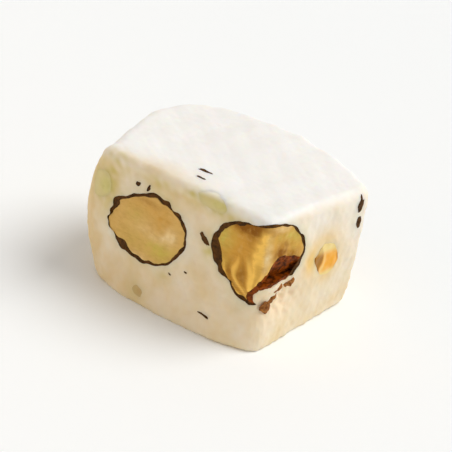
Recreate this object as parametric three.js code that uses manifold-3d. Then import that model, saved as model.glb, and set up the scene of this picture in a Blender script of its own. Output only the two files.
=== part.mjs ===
// A piece of soft almond nougat, cut from a slab: a soft-edged block with whole almonds, chips of nut,
// bits of peel and flakes of brown almond skin that show where the knife went through them.
// Millimetres, +Z up. The front face looks along -Y, the right face along +X, the foot lies on Z = 0.

import * as THREE from 'three';
import { mergeVertices } from 'three/addons/utils/BufferGeometryUtils.js';
import Module from 'manifold-3d';

const wasm = await Module();
wasm.setup();

// ---------------------------------------------------------------- driving dimensions, in millimetres

const blockHeight = 22;          // slab thickness
const waistHeight = 9.2;         // where the sides bulge the most
const waistRadius = 15;          // mean distance from the middle of the block to its sides
const edgeRadius = 1.5;          // the pressed, softened edges of the top and the foot
const cornerWalk = 0.055;        // how far along a side the upright corners are softened, as a share of it
const footDepth = 0.5;           // what the flat foot takes off the soft underside
const socketGap = 0.3;           // room between a nut and the nougat that holds it

const crownHeight = 0.9;         // how much the slab's skin swells up towards the back
const crownRange = [-4, 12];     // where along Y the swell starts and where it is full
const crownWidth = 44;           // from side to side, where it has died away
const skinFade = 6;              // how steeply the swell and the unevenness of the top fade below it
const sideFade = 4;              // how steeply the unevenness of the sides fades towards the middle

// The slow unevenness that slicing leaves: waves along a slant, each crossed by another, with their
// starts in millimetres and their share of the whole depth.
const reliefHeight = 0.22;
const reliefLength = 9;
const waves = [
  { share: 1.0, along: [1.0, 0.4, 0.3], start: 0.0, across: [-0.5, 0.8, 0.0], startAcross: 1.1 },
  { share: 1.0, along: [-0.3, 0.0, 1.1], start: 2.3, across: [0.9, 0.0, 0.6], startAcross: 0.0 },
  { share: 0.6, along: [0.0, 1.9, 0.95], start: 1.33, across: [1.7, 0.0, -1.02], startAcross: 6.75 },
];

// Block grid: cells along X, Y and Z, and how strongly its lines crowd towards the edges.
const gridCells = [22, 17, 14];
const gridCrowding = 0.72;

// The plan outline, walked anticlockwise from the front left corner. A whole number is a corner of the
// block, what lies between is part of a side. Each point is given at the foot, the waist and the top.
const outline = [
  { at: 0.00, foot: [-16.2, -12.4], waist: [-19.7, -12.5], top: [-16.9, -11.8] },
  { at: 0.17, foot: [-10.4, -15.0], waist: [-11.6, -13.3], top: [-11.0, -11.6] },
  { at: 0.50, foot: [0.2, -15.2], waist: [-0.4, -13.4], top: [-0.5, -11.4] },
  { at: 0.83, foot: [10.8, -14.7], waist: [10.8, -13.0], top: [10.1, -11.1] },
  { at: 1.00, foot: [17.4, -12.2], waist: [16.9, -11.9], top: [16.0, -11.0] },
  { at: 2.00, foot: [16.6, 12.6], waist: [18.3, 11.9], top: [19.0, 11.2] },
  { at: 2.25, foot: [9.3, 14.6], waist: [10.6, 15.2], top: [11.0, 15.0] },
  { at: 2.55, foot: [0.4, 15.8], waist: [0.6, 16.9], top: [0.6, 16.9] },
  { at: 2.85, foot: [-11.2, 15.6], waist: [-12.6, 16.8], top: [-13.0, 16.9] },
  { at: 3.14, foot: [-16.8, 12.6], waist: [-19.0, 13.9], top: [-20.0, 14.0] },
  { at: 3.36, foot: [-18.8, 5.6], waist: [-21.9, 6.6], top: [-22.6, 7.0] },
  { at: 4.00, foot: [-16.2, -12.4], waist: [-19.7, -12.5], top: [-16.9, -11.8] },
];

// Hollows where nougat has torn away, each a smooth dent pressed in along `push`: under the corner
// almond, in the side beside it, and a shallow scoop in the left side.
const hollows = [
  { centre: [16.4, -11.6, 7.0], reach: 3.0, depth: 1.8, push: [-0.7, 0.7, 0] },
  { centre: [16.4, -6.6, 8.0], reach: 3.0, depth: 1.0, push: [-1, 0, 0] },
  { centre: [-20.5, -4.0, 5.5], reach: 4.5, depth: 0.8, push: [1, 0, 0] },
];

// Whole almonds: length, width, thickness; centre; how pointed the tip is; the tip's direction; the width's.
const almonds = [
  {
    name: 'almond_front', size: [20.5, 13.1, 9.2], centre: [-7.6, -10.2, 11.5], point: 0.26,
    tip: [-0.99, 0.06, -0.14], across: [0.14, 0.03, -0.99],
  },
  {
    name: 'almond_corner', size: [16.7, 19.5, 12.8], centre: [10.4, -6.9, 11.7], point: 0.54,
    tip: [0.25, -0.37, -0.89], across: [0.81, -0.42, 0.4],
    // The lower right part of this kernel has broken out, and nougat fills the foot of that hollow.
    missing: { centre: [17.2, -6.3, 9.8], half: [3.0, 5.0, 5.0], turn: [-0.28, 0.3, 0] },
    filling: { centre: [15.6, -6.4, 6.3], half: [4.4, 5.8, 4.5], turn: [0, 0, 0] },
  },
  {
    name: 'almond_rear_corner', size: [18.0, 11.2, 8.4], centre: [11.4, 13.0, 13.2], point: 0.14,
    tip: [-0.25, -0.93, -0.25], across: [0.1, -0.27, 0.95],
  },
  {
    name: 'almond_rear', size: [24.0, 12.6, 9.0], centre: [-7.2, 15.6, 9.6], point: 0.2,
    tip: [-0.95, 0.06, 0.3], across: [0.3, 0.0, 0.95],
  },
  {
    name: 'almond_left', size: [21.5, 12.2, 8.8], centre: [-19.4, 4.2, 13.2], point: 0.14,
    tip: [0.62, 0.72, -0.3], across: [0.1, 0.3, 0.95],
  },
];

// Bits of peel and chips of nut: centre, half sizes along X, Y and Z, and turn about X, Y and Z.
const peels = [
  { name: 'peel_right', centre: [17.0, 2.9, 11.8], half: [2.4, 2.8, 3.3], turn: [0.5, 0, 0] },
  { name: 'peel_rear', centre: [7.2, 14.0, 4.6], half: [2.6, 2.2, 1.7], turn: [0, 0.5, 0] },
  { name: 'peel_left', centre: [-19.4, -5.6, 15.4], half: [1.8, 2.6, 1.6], turn: [0.6, 0, 0] },
];
const chips = [
  { name: 'chip_top_edge', centre: [5.0, -10.7, 20.9], half: [3.0, 1.5, 1.1], turn: [0, 0.1, 0] },
  { name: 'chip_left_edge', centre: [-16.2, -12.0, 16.0], half: [1.9, 1.6, 2.3], turn: [0, 0, 0.4] },
  { name: 'chip_low', centre: [-5.1, -14.2, 2.1], half: [1.1, 1.2, 0.8], turn: [0, 0.3, 0] },
  { name: 'chip_rear', centre: [3.2, 15.2, 17.6], half: [1.9, 1.8, 1.2], turn: [0, -0.4, 0] },
];

// Flakes of brown skin: some cut flush with the faces, and some that stand proud in the torn hollow.
const flushFlakes = [
  { name: 'skin_front', centre: [4.6, -11.9, 15.1], half: [1.4, 0.9, 0.5], turn: [0, 0.75, 0] },
  { name: 'skin_rear_upper', centre: [18.4, 9.0, 19.5], half: [0.7, 0.45, 1.2], turn: [-0.1, 0, 0] },
  { name: 'skin_rear_lower', centre: [18.3, 9.2, 16.4], half: [0.7, 0.5, 1.1], turn: [0.1, 0, 0] },
  { name: 'skin_left', centre: [-19.9, -1.6, 7.4], half: [0.9, 1.6, 0.45], turn: [-0.5, 0, 0] },
];
const proudFlakes = [
  { name: 'skin_torn_upper', centre: [16.7, -5.3, 10.2], half: [0.8, 0.9, 0.5], turn: [0.75, 0.2, 0] },
  { name: 'skin_torn_inner', centre: [16.4, -7.6, 10.1], half: [0.7, 0.8, 0.4], turn: [0.4, 0, 0] },
  { name: 'skin_torn_middle', centre: [16.1, -7.7, 8.2], half: [0.8, 1.4, 0.7], turn: [0.9, 0, 0] },
  { name: 'skin_torn_lower', centre: [15.8, -9.2, 6.2], half: [0.8, 0.9, 1.4], turn: [0.5, 0.1, 0] },
];

const almondTaper = 0.08;        // how much both ends of an almond are slimmer than an ellipsoid's
const eggFacets = [20, 12];      // of an almond: round the width, and from end to end
const hollowSquareness = 4;      // 2 would round the broken-out hollow like an egg, more squares it
const chipKnobs = 0.1;           // height of the low knobs on a chip, as a share of its size
const knobPitch = [4.1, 2.2, 3.4];
const chipDetail = 1;            // how often the facets of a chip are split
const weldDistance = 1e-4;

// ---------------------------------------------------------------- materials

function food(colour, roughness) {
  return new THREE.MeshStandardMaterial({ color: colour, roughness, metalness: 0 });
}

const nougatWhite = food(0xf3ead9, 0.62);
const almondKernel = food(0xc79c56, 0.42);
const paleNut = food(0xcfc07a, 0.5);
const amberPeel = food(0xe9a43c, 0.35);
const brownSkin = food(0x5a2f10, 0.5);

// ---------------------------------------------------------------- solids and meshes

function solidOf(geometry) {
  geometry.deleteAttribute('normal');
  geometry.deleteAttribute('uv');
  const merged = mergeVertices(geometry, weldDistance);
  return new wasm.Manifold(new wasm.Mesh({
    numProp: 3,
    vertProperties: new Float32Array(merged.attributes.position.array),
    triVerts: new Uint32Array(merged.index.array),
  }));
}

function meshOf(name, solid, material) {
  const cut = solid.getMesh();
  const geometry = new THREE.BufferGeometry();
  geometry.setAttribute('position', new THREE.BufferAttribute(new Float32Array(cut.vertProperties), 3));
  geometry.setIndex(new THREE.BufferAttribute(new Uint32Array(cut.triVerts), 1));
  geometry.computeVertexNormals();
  const mesh = new THREE.Mesh(geometry, material);
  mesh.name = name;
  return mesh;
}

/** Moves every vertex of a geometry by a function that changes the vector it is given. */
function reshape(geometry, change) {
  const position = geometry.attributes.position;
  const point = new THREE.Vector3();
  for (let i = 0; i < position.count; i += 1) {
    point.fromBufferAttribute(position, i);
    change(point);
    position.setXYZ(i, point.x, point.y, point.z);
  }
  return geometry;
}

// ---------------------------------------------------------------- the block

/** An outline point at a height: a parabola through its foot, waist and top. */
function atHeight({ foot, waist, top }, height) {
  const h = height / blockHeight;
  const w = waistHeight / blockHeight;
  const footShare = (h - w) * (h - 1) / w;
  const waistShare = h * (h - 1) / (w * (w - 1));
  const topShare = h * (h - w) / (1 - w);
  return new THREE.Vector2(
    foot[0] * footShare + waist[0] * waistShare + top[0] * topShare,
    foot[1] * footShare + waist[1] * waistShare + top[1] * topShare,
  );
}

/** The outline at one place of the walk, with straight runs from point to point. */
function straightOutline(walk, height) {
  const place = THREE.MathUtils.euclideanModulo(walk, 4);
  const next = outline.findIndex((point) => point.at > place);
  const a = outline[next - 1];
  const b = outline[next];
  return atHeight(a, height).lerp(atHeight(b, height), (place - a.at) / (b.at - a.at));
}

/** The outline with its corners softened: the mean over a short walk to both sides. */
function softOutline(walk, height) {
  const steps = [-1, -0.5, 0, 0.5, 1];
  const sum = new THREE.Vector2();
  for (const step of steps) sum.add(straightOutline(walk + step * cornerWalk, height));
  return sum.divideScalar(steps.length);
}

/** Where on the walk a point on the rim of the square from -1 to 1 lies. */
function walkOf(u, v) {
  if (v <= -1 + 1e-9) return (u + 1) / 2;
  if (u >= 1 - 1e-9) return 1 + (v + 1) / 2;
  if (v >= 1 - 1e-9) return 2 + (1 - u) / 2;
  return 3 + (1 - v) / 2;
}

/** The sum of the waves at a point, from -1 to 1. */
function unevenness(point) {
  const k = 2 * Math.PI / reliefLength;
  let sum = 0;
  let whole = 0;
  for (const { share, along, start, across, startAcross } of waves) {
    const wave = Math.sin(k * (point.dot(new THREE.Vector3(...along)) + start));
    const crossing = Math.cos(k * (point.dot(new THREE.Vector3(...across)) + startAcross));
    sum += share * wave * crossing;
    whole += share;
  }
  return sum / whole;
}

/** Turns a point of the cube from -1 to 1 into a point of the soft block. */
function shapeBlock(point) {
  const crowd = (s) => Math.sin(s * gridCrowding * Math.PI / 2) / Math.sin(gridCrowding * Math.PI / 2);
  const u = crowd(point.x);
  const v = crowd(point.y);
  const w = crowd(point.z);

  // Round the rim of the top and the foot, in a plane that holds the upright axis.
  const out = Math.max(Math.abs(u), Math.abs(v));
  const half = (blockHeight + footDepth) / 2;
  const section = new THREE.Vector2(out * waistRadius, w * half);
  const core = new THREE.Vector2(
    Math.min(section.x, waistRadius - edgeRadius),
    THREE.MathUtils.clamp(section.y, edgeRadius - half, half - edgeRadius),
  );
  section.sub(core);
  section.clampLength(0, edgeRadius).add(core);

  // Carry that section round the plan outline.
  const height = section.y + half - footDepth;
  const share = section.x / waistRadius;
  const rim = out > 0 ? softOutline(walkOf(u / out, v / out), height) : new THREE.Vector2();
  point.set(rim.x * share, rim.y * share, height);

  // Slow unevenness outwards, and the torn hollows.
  const place = point.clone();
  const swell = reliefHeight * unevenness(place);
  const sideways = rim.normalize().multiplyScalar(share ** sideFade * swell);
  const crown = crownHeight * THREE.MathUtils.smoothstep(place.y, ...crownRange)
    * Math.cos(Math.PI * place.x / crownWidth) ** 2;
  point.x += sideways.x;
  point.y += sideways.y;
  point.z += Math.max(w, 0) ** skinFade * (swell + crown);
  for (const hollow of hollows) {
    const far = place.distanceTo(new THREE.Vector3(...hollow.centre)) / hollow.reach;
    const dent = hollow.depth * Math.exp(-far * far);
    point.addScaledVector(new THREE.Vector3(...hollow.push).normalize(), dent);
  }
}

/** The whole block, before anything is set into it, with its foot sliced flat. */
function blockForm() {
  const cube = reshape(new THREE.BoxGeometry(2, 2, 2, ...gridCells), shapeBlock);
  const reach = 4 * blockHeight;
  const slicer = new THREE.BoxGeometry(reach, reach, reach).translate(0, 0, reach / 2);
  return solidOf(cube).intersect(solidOf(slicer));
}

// ---------------------------------------------------------------- what is set into it

/** A turn that takes X, Y and Z to a piece's length, width and thickness. */
function facing(tip, across) {
  const x = new THREE.Vector3(...tip).normalize();
  const z = new THREE.Vector3().crossVectors(x, new THREE.Vector3(...across)).normalize();
  const y = new THREE.Vector3().crossVectors(z, x);
  return new THREE.Matrix4().makeBasis(x, y, z);
}

/** An almond: an ellipsoid drawn out to a blunt point at one end, grown by `extra` all round. */
function almondShape({ size, centre, point: pointed, tip, across }, extra) {
  const [length, width, thickness] = size.map((side) => side / 2 + extra);
  const egg = new THREE.SphereGeometry(1, eggFacets[0], eggFacets[1]).rotateZ(-Math.PI / 2);
  reshape(egg, (point) => {
    const slim = 1 - pointed * point.x - almondTaper * point.x * point.x;
    point.set(point.x * length, point.y * width * slim, point.z * thickness * slim);
  });
  egg.applyMatrix4(facing(tip, across));
  egg.translate(...centre);
  return solidOf(egg);
}

/** A squared egg: what has broken out of a kernel, or the nougat in its place, grown by `extra`. */
function squaredEgg({ centre, half, turn }, extra) {
  const egg = new THREE.SphereGeometry(1, eggFacets[0], eggFacets[1]);
  reshape(egg, (point) => {
    const sum = point.toArray().reduce((total, side) => total + Math.abs(side) ** hollowSquareness, 0);
    point.divideScalar(sum ** (1 / hollowSquareness));
    point.multiply(new THREE.Vector3(...half).addScalar(extra));
  });
  egg.applyMatrix4(new THREE.Matrix4().makeRotationFromEuler(new THREE.Euler(...turn)));
  egg.translate(...centre);
  return solidOf(egg);
}

/** A rough chip: a ball with low facets, pulled into a lump, grown by `extra` all round. */
function chipShape({ centre, half, turn }, extra) {
  const lump = new THREE.IcosahedronGeometry(1, chipDetail);
  const [pitchX, pitchY, pitchZ] = knobPitch;
  reshape(lump, (point) => {
    const round = Math.sin(pitchX * point.x + pitchY * point.y);
    const knob = 1 + chipKnobs * round * Math.cos(pitchZ * point.z + centre[0]);
    point.set(
      point.x * (half[0] * knob + extra),
      point.y * (half[1] * knob + extra),
      point.z * (half[2] * knob + extra),
    );
  });
  lump.applyMatrix4(new THREE.Matrix4().makeRotationFromEuler(new THREE.Euler(...turn)));
  lump.translate(...centre);
  return solidOf(lump);
}

// ---------------------------------------------------------------- assembly

const form = blockForm();
const group = new THREE.Group();
let nougat = form;

/** Sets a piece into a bed of its own in the nougat. */
function setIn(name, material, piece, bed) {
  group.add(meshOf(name, piece, material));
  nougat = nougat.subtract(bed);
}

/** A chip, cut flush with the block where it shows. */
function setFlush(chip, material) {
  setIn(chip.name, material, chipShape(chip, 0).intersect(form), chipShape(chip, socketGap));
}

for (const almond of almonds) {
  let kernel = almondShape(almond, 0).intersect(form);
  let bed = almondShape(almond, socketGap);
  if (almond.missing) {
    kernel = kernel.subtract(squaredEgg(almond.missing, 0));
    bed = bed.subtract(squaredEgg(almond.missing, -socketGap).intersect(squaredEgg(almond.filling, 0)));
  }
  setIn(almond.name, almondKernel, kernel, bed);
}

for (const peel of peels) setFlush(peel, amberPeel);
for (const chip of chips) setFlush(chip, paleNut);
for (const flake of flushFlakes) setFlush(flake, brownSkin);
for (const flake of proudFlakes) {
  setIn(flake.name, brownSkin, chipShape(flake, 0), chipShape(flake, socketGap));
}

const block = meshOf('nougat_block', nougat, nougatWhite);
group.add(block);

// The piece is held by the middle of its foot.
const bounds = new THREE.Box3().setFromObject(block);
const middle = bounds.getCenter(new THREE.Vector3());
group.position.set(-middle.x, -middle.y, -bounds.min.z);
group.updateMatrixWorld(true);

export default group;
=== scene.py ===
import math

import bmesh
import bpy
import numpy as np
from mathutils import Matrix, Vector


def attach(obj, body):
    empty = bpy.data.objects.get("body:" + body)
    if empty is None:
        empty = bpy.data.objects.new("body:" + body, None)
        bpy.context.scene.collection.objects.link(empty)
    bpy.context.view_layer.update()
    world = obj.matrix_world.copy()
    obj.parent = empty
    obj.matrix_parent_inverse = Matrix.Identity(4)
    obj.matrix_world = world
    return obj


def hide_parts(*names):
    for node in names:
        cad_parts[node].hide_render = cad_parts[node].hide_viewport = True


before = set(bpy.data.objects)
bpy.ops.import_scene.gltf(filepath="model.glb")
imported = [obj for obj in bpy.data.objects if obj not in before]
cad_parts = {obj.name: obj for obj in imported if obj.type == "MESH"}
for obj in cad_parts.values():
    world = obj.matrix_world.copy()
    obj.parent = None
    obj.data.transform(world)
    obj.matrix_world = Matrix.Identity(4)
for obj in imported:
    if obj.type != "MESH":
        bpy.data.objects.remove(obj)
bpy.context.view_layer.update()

bl_info = {
    "name": "Almond nougat piece",
    "version": (1, 0, 0),
    "blender": (4, 5, 0),
    "location": "3D View > Sidebar > Nougat",
    "description": "Builds a cut piece of soft almond nougat with its nuts, peel and flakes of skin",
    "category": "Object",
}

# ------------------------------------------------------------------ the piece, in millimetres
# +Z is up, the front face looks along -Y and the right face along +X. The block's own origin lies at
# BLOCK_PLACE in the frame.

MM = 0.001
BLOCK_PLACE = np.array([1.866, -1.052, 0.0])

WAIST_HEIGHT = 9.2          # where the sides bulge the most
WAIST_RADIUS = 15.0         # mean distance from the middle of the block to its sides
CORNER_WALK = 0.055         # how far along a side the upright corners are softened
CORNER_STEPS = 5            # places of that stretch whose mean is taken
FOOT_DEPTH = 0.5            # what the flat foot takes off the soft underside
CROWN_HEIGHT = 0.9          # how much the slab's skin swells up towards the back
CROWN_RANGE = (-4.0, 12.0)  # where along Y that swell rises from nothing to its most
CROWN_WIDTH = 44.0          # how wide along X it is
SKIN_FADE = 6               # power by which the slab's skin keeps its swell off the sides
SIDE_FADE = 4               # power by which the sides keep their waves off the middle of the top
RELIEF_HEIGHT = 0.22        # slow unevenness that slicing leaves
RELIEF_LENGTH = 9.0

# Share, slant, start, crossing slant and its start, of the waves that make up the slow unevenness.
WAVES = (
    (1.0, (1.0, 0.4, 0.3), 0.0, (-0.5, 0.8, 0.0), 1.1),
    (1.0, (-0.3, 0.0, 1.1), 2.3, (0.9, 0.0, 0.6), 0.0),
    (0.6, (0.0, 1.9, 0.95), 1.33, (1.7, 0.0, -1.02), 6.75),
)

# Plan outline, anticlockwise from the front left corner: place of the walk, then foot, waist and top.
OUTLINE = (
    (0.00, (-16.2, -12.4), (-19.7, -12.5), (-16.9, -11.8)),
    (0.17, (-10.4, -15.0), (-11.6, -13.3), (-11.0, -11.6)),
    (0.50, (0.2, -15.2), (-0.4, -13.4), (-0.5, -11.4)),
    (0.83, (10.8, -14.7), (10.8, -13.0), (10.1, -11.1)),
    (1.00, (17.4, -12.2), (16.9, -11.9), (16.0, -11.0)),
    (2.00, (16.6, 12.6), (18.3, 11.9), (19.0, 11.2)),
    (2.25, (9.3, 14.6), (10.6, 15.2), (11.0, 15.0)),
    (2.55, (0.4, 15.8), (0.6, 16.9), (0.6, 16.9)),
    (2.85, (-11.2, 15.6), (-12.6, 16.8), (-13.0, 16.9)),
    (3.14, (-16.8, 12.6), (-19.0, 13.9), (-20.0, 14.0)),
    (3.36, (-18.8, 5.6), (-21.9, 6.6), (-22.6, 7.0)),
    (4.00, (-16.2, -12.4), (-19.7, -12.5), (-16.9, -11.8)),
)

# Hollows where nougat has torn away: centre, reach, depth, and the way it is pressed in.
HOLLOWS = (
    ((16.4, -11.6, 7.0), 3.0, 1.8, (-0.7, 0.7, 0.0)),
    ((16.4, -6.6, 8.0), 3.0, 1.0, (-1.0, 0.0, 0.0)),
    ((-20.5, -4.0, 5.5), 4.5, 0.8, (1.0, 0.0, 0.0)),
)

CORNER = "almond_corner"    # the almond whose kernel has partly broken out
ALMOND_TAPER = 0.08         # how much both ends of an almond are slimmer than an ellipsoid's
ALMOND_WAVES = ((1.0, 4.2), (0.7, 1.9))     # slow waves of its outline: share and length
FURROWS = 15                # round an almond
FURROW_WANDER = (1.8, 1.6)  # how far the furrows wander, and over what length of a unit ball
FURROW_BREAKS = (0.9, 0.7)  # how much they are broken up, and over what length of it
INNER_FURROWS = 0.8         # how deep they are on the inner side of the skin, as a share

# Kernels that sit off the middle of their skin, and knobs on the corner almond: centre, reach and push.
SHIFTED_IN_SKIN = {"almond_front": (-0.02, 0.06, -0.1), "almond_corner": (0.03, 0.0, 0.1)}
KNOBS = {
    "almond_corner": (
        ((16.4, -10.2, 19.6), 2.3, (0.1, -0.1, 0.68)),
        ((12.1, -12.4, 10.3), 1.7, (-0.1, -0.38, -0.1)),
        ((14.3, -11.8, 8.9), 1.8, (0.1, -0.34, 0.0)),
    ),
}

# Almonds: size (length, width, thickness), centre, how pointed the tip is, the tip's way, the width's way.
ALMONDS = {
    "almond_front": ((20.5, 13.1, 9.2), (-7.6, -10.2, 11.5), 0.26, (-0.99, 0.06, -0.14), (0.14, 0.03, -0.99)),
    "almond_corner": ((16.7, 19.5, 12.8), (10.4, -6.9, 11.7), 0.54, (0.25, -0.37, -0.89), (0.81, -0.42, 0.4)),
    "almond_rear_corner": (
        (18.0, 11.2, 8.4), (11.4, 13.0, 13.2), 0.14, (-0.25, -0.93, -0.25), (0.1, -0.27, 0.95)),
    "almond_rear": ((24.0, 12.6, 9.0), (-7.2, 15.6, 9.6), 0.2, (-0.95, 0.06, 0.3), (0.3, 0, 0.95)),
    "almond_left": ((21.5, 12.2, 8.8), (-19.4, 4.2, 13.2), 0.14, (0.62, 0.72, -0.3), (0.1, 0.3, 0.95)),
}

# The part of the corner kernel that has broken out, and the nougat that fills the foot of that hollow:
# centre, half sizes and turn.
MISSING_PART = ((17.8, -6.8, 10.0), (3.1, 5.3, 5.5), (-0.33, 0.41, -0.1))
FILLING = ((15.6, -6.6, 6.5), (4.4, 6.2, 4.5), (0.1, 0.0, 0.0))
MISSING_ROUGHNESS = 0.1
FILLING_ROUGHNESS = 0.2
HOLLOW_WAVES = ((1.0, 2.4), (0.6, 0.9))        # roughness of both: share and length
FILLING_CLEAR_OF_KERNEL = (0.35, 0.35, 0.0)    # leaves more of the lining bare beside the kernel

# Bits of peel, chips of nut and flakes of skin: centre, half sizes and turn.
PEELS = {
    "peel_right": ((17.0, 2.9, 11.8), (2.4, 2.8, 3.3), (0.5, 0, 0)),
    "peel_rear": ((7.2, 14.0, 4.6), (2.6, 2.2, 1.7), (0, 0.5, 0)),
    "peel_left": ((-19.4, -5.6, 15.4), (1.8, 2.6, 1.6), (0.6, 0, 0)),
}
CHIPS = {
    "chip_top_edge": ((5.0, -10.7, 20.9), (3.0, 1.5, 1.1), (0, 0.1, 0)),
    "chip_left_edge": ((-16.2, -12.0, 16.0), (1.9, 1.6, 2.3), (0, 0, 0.4)),
    "chip_low": ((-5.1, -14.2, 2.1), (1.1, 1.2, 0.8), (0, 0.3, 0)),
    "chip_rear": ((3.2, 15.2, 17.6), (1.9, 1.8, 1.2), (0, -0.4, 0)),
}
FLUSH_FLAKES = {
    "skin_front": ((5.1, -11.9, 14.9), (1.4, 0.9, 0.55), (0, 0.75, 0)),
    "skin_rear_upper": ((18.4, 9.0, 19.7), (0.8, 0.5, 1.5), (-0.1, 0, 0)),
    "skin_rear_lower": ((18.3, 9.2, 16.4), (0.8, 0.55, 1.3), (0.1, 0, 0)),
    "skin_left": ((-19.9, -1.6, 7.4), (0.9, 1.6, 0.45), (-0.5, 0, 0)),
}
PROUD_FLAKES = {
    "skin_torn_upper": ((16.7, -5.3, 10.2), (0.8, 0.9, 0.5), (0.75, 0.2, 0)),
    "skin_torn_inner": ((16.4, -7.8, 10.0), (0.7, 1.3, 0.45), (0.5, 0, 0)),
    "skin_torn_middle": ((16.1, -8.5, 8.5), (0.8, 1.4, 0.8), (0.9, 0, 0)),
    "skin_torn_lower": ((15.8, -9.2, 6.7), (0.8, 0.95, 1.4), (0.5, 0.1, 0)),
}

# Flecks of skin under 3 mm long, pressed into the faces and the top: centre, half sizes and turn.
FLECKS = (
    # The first two stand where the front face has small dark pits: their dark skin is painted shade of those
    # pits.
    ((7.9, -14.1, 3.5), (1.05, 0.4, 0.17), (0, 0.16, 0)),
    ((0.2, -13.7, 7.2), (0.32, 0.35, 0.14), (0, 0.5, 0)),
    ((3.0, -13.4, 8.6), (0.26, 0.35, 0.12), (0, 0.2, 0)),
    ((-9.3, -11.9, 18.6), (0.42, 0.35, 0.34), (0, 0, 0)),
    ((-7.0, -11.8, 18.7), (0.36, 0.35, 0.75), (0, 0.35, 0)),
    ((-1.3, -5.5, 22.0), (1.3, 0.3, 0.3), (0, 0, 0)),
    ((-0.5, -7.7, 22.0), (1.2, 0.2, 0.3), (0, 0, -0.22)),
    ((-4.0, 16.9, 17.5), (0.6, 0.4, 0.3), (0, 0, 0)),
    ((-19.5, 9.0, 3.8), (0.4, 0.6, 0.3), (0, 0, 0)),
)

# Fold of skin caught between the halves of the corner kernel: centre, half sizes and turn.
FOLD = ((7.9, -12.2, 14.3), (0.55, 1.8, 2.3), (0, -0.5, 0))

SQUARENESS = 4              # order of the norm that gives a lump its corners
LUMP_ROUND = 0.55           # share of the ball in a lump, and share of the squared ball
LUMP_SQUARE = 0.414
LUMP_WAVES = ((1.0, 1.5), (0.3, 0.5))       # knobs on it: share and length on a unit ball
CHIP_KNOBS = 0.1            # height of the knobs, as shares of the lump's size
FLAKE_KNOBS = 0.2
FOLD_KNOBS = 0.12
FLAKE_RIM = (0.14, 0.9)     # how ragged a flake's rim is, and over what length of a unit ball
FLAKE_CRINKLES = (0.06, 0.7)                # height and length of its crinkles
FLAKE_FLATNESS = 0.6
FLAKE_CURL = 0.5            # how far it curls, as a share of its half thickness

TOP_FACE = (19.5, 21.5)     # heights between which the cut ends and the smoother skin of the slab begins
TOP_SMOOTHNESS = 0.55       # how much less tooth that skin has
TOOTH_WAVES = ((1.0, 1.9), (0.6, 0.9))      # of a cut face: share and length
DRAGGED_SHARE = 0.2         # of the streaks that the knife dragged along
DRAGGED_WAY = (0.12, 0.12, 1.0)             # squeezes the points they are worked out at, so they run level
DRAGGED_LENGTH = 1.1
LIP_HEIGHT = 0.1            # nougat drawn up to an almond, how much that varies and over what length
LIP_CHANGE = (0.08, 3.0)
LIP_START = 0.3             # how far from the almond it starts to fall, and how wide it is
LIP_WIDTH = 0.55
DIP_DEPTH = 0.08            # dip past the lip, how far from the almond it is, and its width
DIP_PLACE = 2.0
DIP_WIDTH = 1.1
TORN_WAVES = ((1.0, 1.5), (0.6, 0.8))       # of torn nougat: share and length
# The torn nougat's reach also marks where it is painted lighter: painted light against the shade of the torn
# hollow.
TORN_SPOT = ((16.6, -7.6, 8.0), (3.0, 3.6, 3.0))    # centre and reach of the torn nougat

# The faces of what is sliced flush with the block: how far they stand out, and their ripples' shares
# and lengths. Skin has dried and shrunk back.
SLICED_FACES = {
    "kernel": (-0.02, ((0.05, 3.0), (0.035, 1.2))),
    "skin": (-0.06, ((0.05, 1.0),)),
    "peel": (0.04, ((0.05, 1.6),)),
    "flake": (0.03, ((0.05, 1.0),)),
}

RIPPLE_COUNT = 20           # plane waves in a ripple, and the shortest and longest as shares of its length
RIPPLE_SPREAD = (0.7, 1.4)

# Seeds of the random fields. A second ripple of a field takes the next number.
SEEDS = {
    "fold": 5, "tooth": 11, "dragged": 13, "torn": 21, "oil": 31, "kernel": 51, "skin": 53, "streaks": 54,
    "missing": 61, "filling": 63, "peel": 71, "peel side": 72, "flake": 91,
}
INNER_SEED = 40             # added to a piece's own seed for the inner side of its skin
WAVES_SEED = 7              # added to it for the waves of its outline

# Where the cut faces are creamy. The right face, which faces the light, is painted whiter than the shaded
# front face as painted light, the more so towards its top and its rear.
SKIN_EDGE = (19.8, 21.6)    # heights between which the cream ends on the front face
RIGHT_FACE = (15.6, 17.2)   # where along X the right face begins
RIGHT_RISE = 1.0            # how much higher the cream goes on it
LIT_RIGHT_WHITENING = 0.02          # how much whiter the lit right face is painted at the foot, and how much whiter by each millimetre up
LIT_RIGHT_WHITENING_UP = 0.02
LIT_RIGHT_WHITENING_REAR = 0.1            # how much whiter it is painted at its rear, and where along Y the rear begins
REAR = (4, 9)
CLEAN_SPOTS = (             # cleaner and creamier spots: centre, reach and share
    ((1.8, -12.8, 13.6), (3.4, 3.0, 4.4), 0.35),
    ((16.9, -6.0, 2.0), (2.0, 5.0, 3.0), -0.35),
    ((-18.5, -12.5, 9.0), (3.0, 3.0, 6.0), -0.5),
)
TOP_CREAM = (               # creamy spots along the top's front edge: centre, reach and share
    ((-4.0, -10.0, 22.0), (7.0, 2.8, 2.0), 0.5),
    ((-11.0, -11.6, 21.6), (8.0, 1.5, 1.2), 0.6),
)
OIL_SEAM = 0.1              # share of oil right beside an almond, and how far it reaches
OIL_SEAM_WIDTH = 0.8
OIL_CLOUDS = (0.35, 1.4)    # how uneven the oil is, and over what length

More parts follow.
